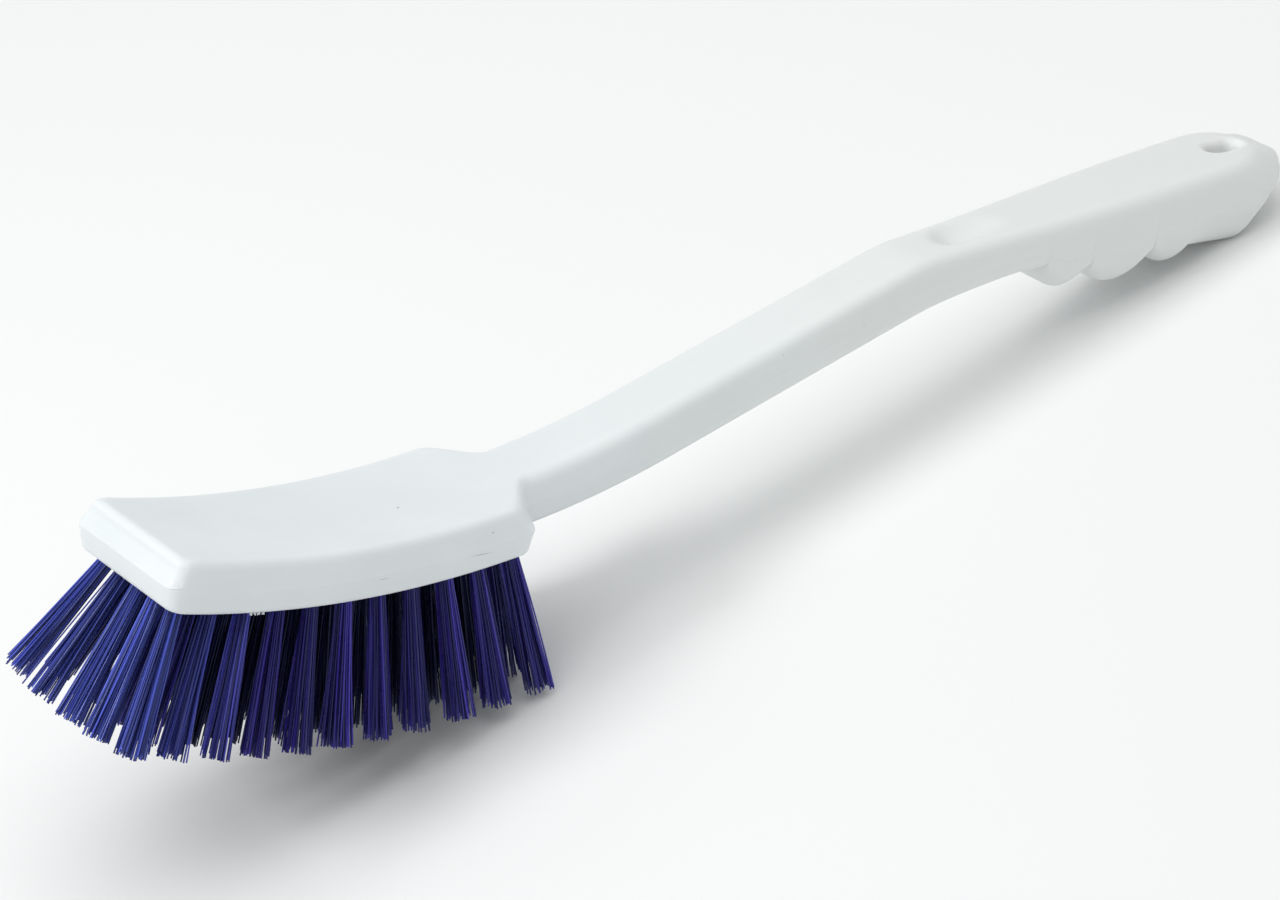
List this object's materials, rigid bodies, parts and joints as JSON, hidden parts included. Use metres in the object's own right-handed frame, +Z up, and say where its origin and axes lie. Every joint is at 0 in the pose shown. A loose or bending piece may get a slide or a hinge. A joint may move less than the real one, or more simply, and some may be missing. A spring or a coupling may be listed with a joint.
{
  "type": "cleaning brush with handle",
  "caption": "Hand-held cleaning brush: an arched moulded block with splayed bristle tufts and a long curved handle with finger furrows, a thumb dimple and a hanging hole.",
  "frame": {"origin": "middle of the brush's footprint, on the surface that it lies on", "axes": "+X from the block's front towards the handle's end, +Y across the brush, +Z up"},
  "size_m": [0.4414, 0.0786, 0.1022],
  "materials": {
    "moulded_body": "white injection-moulded polypropylene, satin with a soft sheen",
    "bristle_tuft": "dark blue polyester filament, drawn and slightly glossy"
  },
  "bodies": {
    "root": {"moulded_body": "moulded_body", "tuft_row1_01": "bristle_tuft", "tuft_row1_02": "bristle_tuft", "tuft_row1_03": "bristle_tuft", "tuft_row1_04": "bristle_tuft", "tuft_row1_05": "bristle_tuft", "tuft_row1_06": "bristle_tuft", "tuft_row1_07": "bristle_tuft", "tuft_row1_08": "bristle_tuft", "tuft_row1_09": "bristle_tuft", "tuft_row1_10": "bristle_tuft", "tuft_row1_11": "bristle_tuft", "tuft_row2_01": "bristle_tuft", "tuft_row2_02": "bristle_tuft", "tuft_row2_03": "bristle_tuft", "tuft_row2_04": "bristle_tuft", "tuft_row2_05": "bristle_tuft", "tuft_row2_06": "bristle_tuft", "tuft_row2_07": "bristle_tuft", "tuft_row2_08": "bristle_tuft", "tuft_row2_09": "bristle_tuft", "tuft_row2_10": "bristle_tuft", "tuft_row2_11": "bristle_tuft", "tuft_row3_01": "bristle_tuft", "tuft_row3_02": "bristle_tuft", "tuft_row3_03": "bristle_tuft", "tuft_row3_04": "bristle_tuft", "tuft_row3_05": "bristle_tuft", "tuft_row3_06": "bristle_tuft", "tuft_row3_07": "bristle_tuft", "tuft_row3_08": "bristle_tuft", "tuft_row3_09": "bristle_tuft", "tuft_row3_10": "bristle_tuft", "tuft_row3_11": "bristle_tuft", "tuft_row4_01": "bristle_tuft", "tuft_row4_02": "bristle_tuft", "tuft_row4_03": "bristle_tuft", "tuft_row4_04": "bristle_tuft", "tuft_row4_05": "bristle_tuft", "tuft_row4_06": "bristle_tuft", "tuft_row4_07": "bristle_tuft", "tuft_row4_08": "bristle_tuft", "tuft_row4_09": "bristle_tuft", "tuft_row4_10": "bristle_tuft", "tuft_row4_11": "bristle_tuft", "tuft_row5_01": "bristle_tuft", "tuft_row5_02": "bristle_tuft", "tuft_row5_03": "bristle_tuft", "tuft_row5_04": "bristle_tuft", "tuft_row5_05": "bristle_tuft", "tuft_row5_06": "bristle_tuft", "tuft_row5_07": "bristle_tuft", "tuft_row5_08": "bristle_tuft", "tuft_row5_09": "bristle_tuft", "tuft_row5_10": "bristle_tuft", "tuft_row5_11": "bristle_tuft"}
  },
  "joints": []
}
